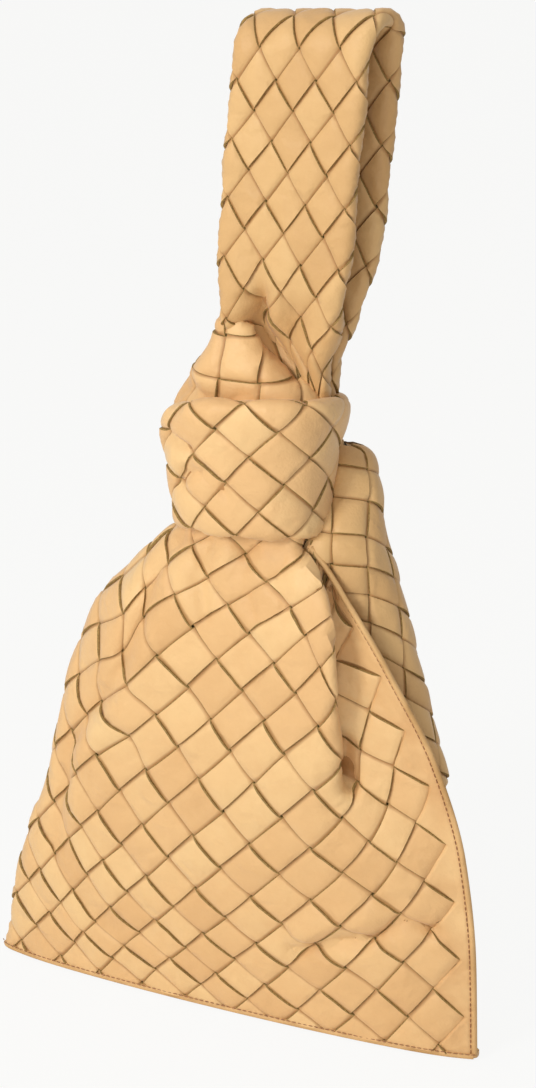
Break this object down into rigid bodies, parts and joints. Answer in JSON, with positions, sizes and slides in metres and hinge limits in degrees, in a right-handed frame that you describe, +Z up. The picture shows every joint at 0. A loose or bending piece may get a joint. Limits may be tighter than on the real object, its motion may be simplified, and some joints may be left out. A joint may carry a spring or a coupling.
{
  "type": "top handle bag",
  "caption": "Small woven leather pouch that narrows into a knot, with a wide woven loop above it as the handle and a slanted open mouth at one side.",
  "frame": {"origin": "middle of the foot's underside", "axes": "+Z up, +X to the mouth side as seen from the front, -Y out of the front"},
  "size_m": [0.2414, 0.064, 0.4675],
  "materials": {
    "woven_nappa": "satin strips of nappa, cut edges darker",
    "plain_nappa": "satin, finely wrinkled",
    "edge_nappa": "satin, turned and stitched",
    "lining": "matt suede",
    "interlining": "matt woven tape"
  },
  "bodies": {
    "pouch": {"base_panel": "plain_nappa", "front_base_seam": "edge_nappa", "back_base_seam": "edge_nappa", "front_panel": "woven_nappa", "back_panel": "woven_nappa", "front_lining": "lining", "back_lining": "lining", "back_mouth_facing": "plain_nappa", "back_mouth_binding": "edge_nappa", "back_strap_root": "woven_nappa", "knot_core": "woven_nappa", "knot_wrap": "woven_nappa", "knot_upper_turn": "woven_nappa", "handle_gather": "woven_nappa"},
    "handle": {"handle_sleeve": "woven_nappa", "handle_interlining": "interlining"},
    "front_lip": {"front_mouth_facing": "plain_nappa", "front_mouth_binding": "edge_nappa"}
  },
  "joints": [
    {"name": "handle_swing", "type": "hinge", "parent": "pouch", "child": "handle", "pos_m": [0.0285, 0, 0.345], "axis": [1, 0, 0], "range_deg": [-80, 80], "deforming": ["handle_gather"]},
    {"name": "mouth_lip", "type": "hinge", "parent": "pouch", "child": "front_lip", "pos_m": [0.109, -0.004, 0.0025], "axis": [0.3203, 0.0458, -0.9462], "range_deg": [0, 28]}
  ]
}
